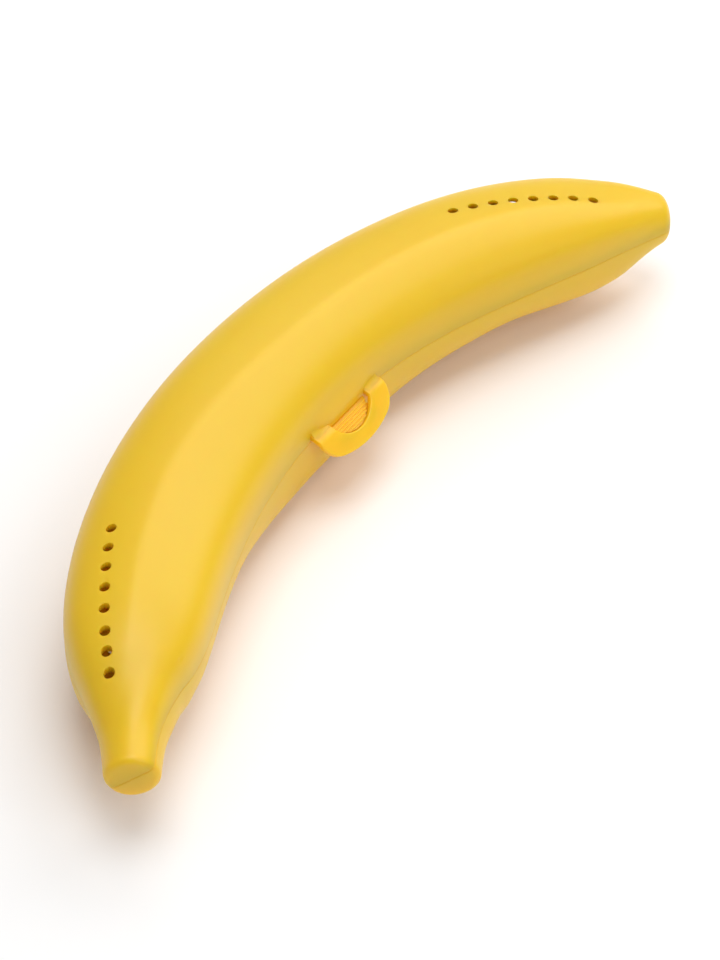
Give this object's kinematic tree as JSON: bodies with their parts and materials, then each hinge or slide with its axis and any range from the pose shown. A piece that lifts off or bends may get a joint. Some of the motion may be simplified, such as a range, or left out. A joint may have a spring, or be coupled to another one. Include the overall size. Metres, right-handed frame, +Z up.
{
  "type": "banana carrying case",
  "caption": "Hard banana-shaped clamshell case: two curved half shells hinged on the outside of the bend, rows of vent holes near both ends, shut by a D-shaped loop over a ribbed catch tab.",
  "frame": {"origin": "under the middle of the case's outline, at the height of the lowest point of the base", "axes": "+X from the stem to the tip, +Y to the outside of the bend (hinge side), +Z up through the lid"},
  "size_m": [0.2542, 0.08, 0.0423],
  "materials": {
    "yellow_plastic": "satin moulded polypropylene",
    "pin_steel": "drawn wire"
  },
  "bodies": {
    "base": {"base_shell": "yellow_plastic", "hinge_pin_stem_side": "pin_steel", "hinge_pin_tip_side": "pin_steel"},
    "lid": {"lid_shell": "yellow_plastic"},
    "latch": {"latch_loop": "yellow_plastic"}
  },
  "joints": [
    {"name": "lid_hinge", "type": "hinge", "parent": "base", "child": "lid", "pos_m": [0.00247, 0.03829, 0.02227], "axis": [-1, 0, 0], "range_deg": [0, 170]},
    {"name": "latch_flex", "type": "hinge", "parent": "lid", "child": "latch", "pos_m": [0.00657, -0.00823, 0.02397], "axis": [-1, 0, 0], "range_deg": [0, 40]}
  ]
}
